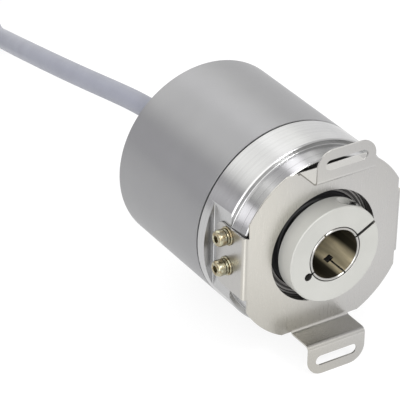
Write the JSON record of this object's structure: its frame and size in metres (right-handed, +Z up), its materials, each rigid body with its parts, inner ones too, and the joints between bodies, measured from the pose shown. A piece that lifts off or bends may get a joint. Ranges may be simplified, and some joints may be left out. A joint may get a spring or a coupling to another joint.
{
  "type": "rotary encoder",
  "caption": "Hollow-shaft rotary encoder with a round metal housing, a bent sheet-metal stator coupling, a slit clamp ring and an axial cable with a round plug.",
  "frame": {"origin": "on the shaft's axis, in the plane of the front faces of the coupling's two feet, where the driven shaft enters the hollow shaft", "axes": "+Y runs along the shaft's axis towards the housing's rear face, -Y leaves the clamp ring, +Z is up, with the coupling's feet above and below the shaft"},
  "size_m": [0.0918, 0.3024, 0.072],
  "materials": {
    "anodised_housing": "matt silver anodised, faint turning lines",
    "turned_aluminium": "fine turned, bright chamfers",
    "stainless_sheet": "rolled sheet, satin, slightly warm",
    "blasted_ring": "bead blasted, bright turned edges",
    "shaft_steel": "fine turned steel",
    "yellow_zinc": "yellow zinc plated",
    "bearing_steel": "ground steel",
    "brass": "machined brass",
    "black_rubber": "matt black rubber",
    "circuit_board": "solder-resist green",
    "chip_black": "moulded black epoxy",
    "white_plastic": "moulded white plastic",
    "glass": "clear glass",
    "nickel_plate": "nickel plated",
    "cable_jacket": "lavender-grey soft plastic, semi-matt",
    "black_plastic": "moulded black plastic"
  },
  "bodies": {
    "stator": {"bearing_circlip": "bearing_steel", "board_post_1": "brass", "board_post_2": "brass", "board_post_3": "brass", "cable": "cable_jacket", "cable_coil": "cable_jacket", "cable_gland": "nickel_plate", "cable_tail": "cable_jacket", "cable_tie": "black_plastic", "coupling_screw_1": "yellow_zinc", "coupling_screw_2": "yellow_zinc", "coupling_screw_3": "yellow_zinc", "coupling_screw_4": "yellow_zinc", "detector": "chip_black", "flange": "turned_aluminium", "flat_washer_1": "yellow_zinc", "flat_washer_2": "yellow_zinc", "flat_washer_3": "yellow_zinc", "flat_washer_4": "yellow_zinc", "front_bearing_outer_ring": "bearing_steel", "gland_nut": "nickel_plate", "gland_washer": "black_rubber", "housing": "anodised_housing", "housing_screw_1": "bearing_steel", "housing_screw_2": "bearing_steel", "housing_screw_3": "bearing_steel", "housing_seal": "black_rubber", "lead_bundle": "white_plastic", "lead_socket": "white_plastic", "light_source": "glass", "main_board": "circuit_board", "outer_spacer": "bearing_steel", "plug_body": "black_plastic", "plug_insert": "black_plastic", "preload_spring": "bearing_steel", "processor_chip": "chip_black", "rear_bearing_outer_ring": "bearing_steel", "rear_post_1": "brass", "rear_post_2": "brass", "rear_post_3": "brass", "shaft_seal": "black_rubber", "spring_washer_1": "yellow_zinc", "spring_washer_2": "yellow_zinc", "spring_washer_3": "yellow_zinc", "spring_washer_4": "yellow_zinc", "stator_coupling": "stainless_sheet"},
    "rotor": {"hollow_shaft": "shaft_steel", "clamp_ring": "blasted_ring", "clamp_screw": "bearing_steel", "disc_hub": "turned_aluminium", "code_disc": "glass", "shaft_circlip": "bearing_steel", "inner_spacer": "bearing_steel", "front_bearing_inner_ring": "bearing_steel", "rear_bearing_inner_ring": "bearing_steel"},
    "front_cage": {"front_bearing_ball_cage": "brass"},
    "rear_cage": {"rear_bearing_ball_cage": "brass"},
    "plug_nut": {"plug_nut": "nickel_plate"}
  },
  "joints": [
    {"name": "shaft_spin", "type": "hinge", "parent": "stator", "child": "rotor", "pos_m": [0, 0.02, 0], "axis": [0, 1, 0], "continuous": true},
    {"name": "front_cage_spin", "type": "hinge", "parent": "stator", "child": "front_cage", "pos_m": [0, 0.0211, 0], "axis": [0, 1, 0], "continuous": true},
    {"name": "rear_cage_spin", "type": "hinge", "parent": "stator", "child": "rear_cage", "pos_m": [0, 0.0327, 0], "axis": [0, 1, 0], "continuous": true},
    {"name": "plug_nut_spin", "type": "hinge", "parent": "stator", "child": "plug_nut", "pos_m": [-0.0543, 0.19, -0.02865], "axis": [0, 1, 0], "continuous": true}
  ],
  "couplings": [
    {"joint": "front_cage_spin", "follows": "shaft_spin", "ratio": 0.438},
    {"joint": "rear_cage_spin", "follows": "shaft_spin", "ratio": 0.438}
  ]
}
